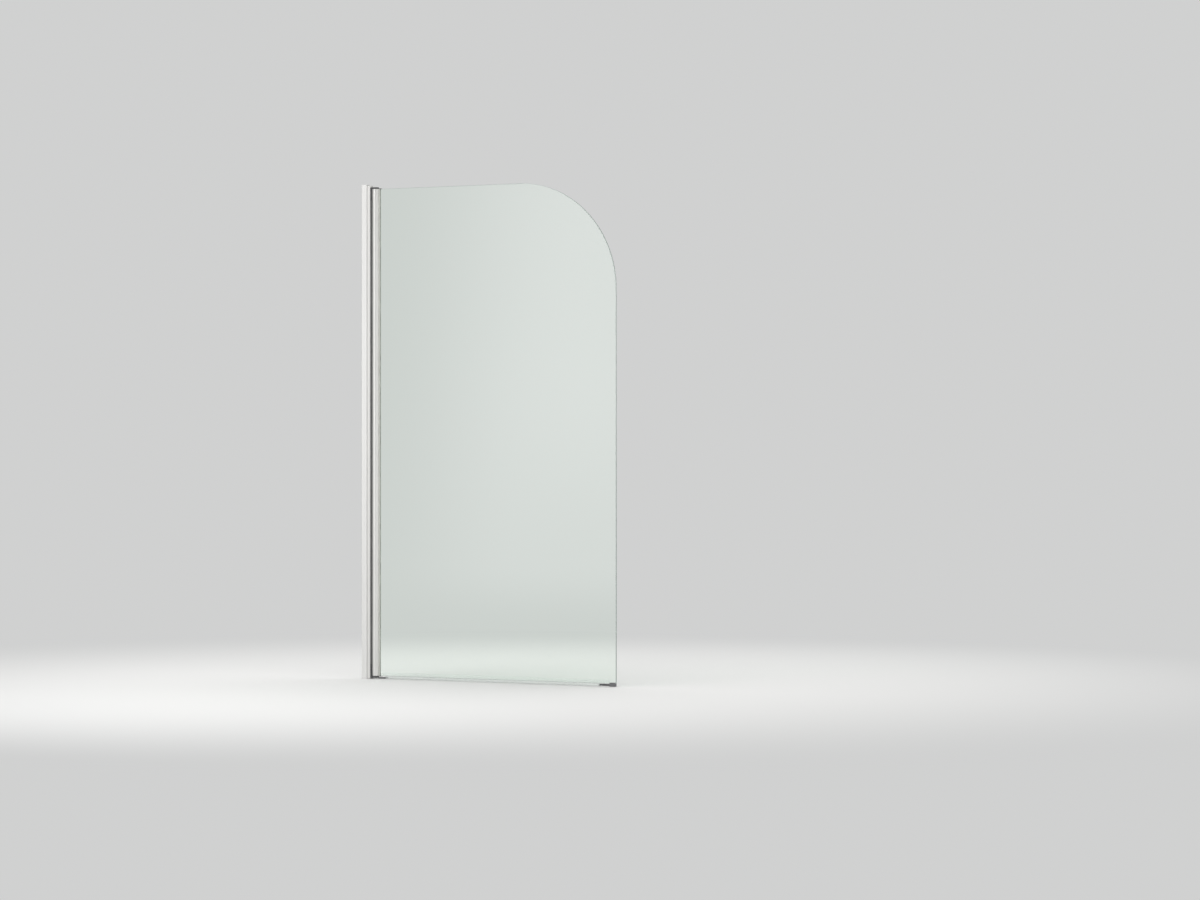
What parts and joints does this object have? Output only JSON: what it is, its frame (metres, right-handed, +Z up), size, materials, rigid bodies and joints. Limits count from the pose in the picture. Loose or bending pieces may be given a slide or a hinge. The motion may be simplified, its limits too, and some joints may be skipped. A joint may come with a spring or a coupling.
{
  "type": "bath screen",
  "caption": "Frameless glass bath screen with one large rounded top corner, turning on a wall-fixed aluminium hinge profile, with a clear drip seal.",
  "frame": {"origin": "on the wall plane at the foot of the wall profile, midway across it, level with the bath's rim that the profile stands on", "axes": "+X out from the wall along the closed screen, +Y towards the bath, +Z up"},
  "size_m": [0.8, 0.0326, 1.4016],
  "materials": {
    "satin_aluminium": "satin anodised",
    "light_plastic": "moulded, matt",
    "stainless_steel": "plain",
    "dark_strip": "matt extrusion",
    "dark_plastic": "moulded, fine texture",
    "white_acetal": "smooth",
    "grey_gasket": "translucent grey extrusion",
    "clear_glass": "clear toughened, ground edges",
    "clear_vinyl": "clear soft extrusion"
  },
  "bodies": {
    "wall_side": {"wall_profile": "satin_aluminium", "wall_profile_cap": "light_plastic", "adjusting_profile": "satin_aluminium", "adjusting_profile_cap": "light_plastic", "fixing_screws": "stainless_steel", "cup_washers": "light_plastic", "screw_covers": "light_plastic", "hinge_strip": "dark_strip", "bearing_bracket_top": "dark_plastic", "bearing_bracket_bottom": "dark_plastic", "bracket_screws_top": "stainless_steel", "bracket_screws_bottom": "stainless_steel", "pivot_pin_top": "stainless_steel", "pivot_pin_bottom": "stainless_steel", "thrust_washer": "white_acetal"},
    "screen": {"pivot_profile": "satin_aluminium", "pivot_bush_top": "white_acetal", "pivot_bush_bottom": "white_acetal", "post_cap_top": "dark_plastic", "post_cap_bottom": "dark_plastic", "glazing_gasket": "grey_gasket", "glass_panel": "clear_glass", "drip_seal": "clear_vinyl", "seal_inner_end": "dark_plastic", "seal_end_block": "dark_plastic"}
  },
  "joints": [
    {"name": "screen_hinge", "type": "hinge", "parent": "wall_side", "child": "screen", "pos_m": [0.03795, 0, 0], "axis": [0, 0, 1], "range_deg": [-90, 90]}
  ]
}
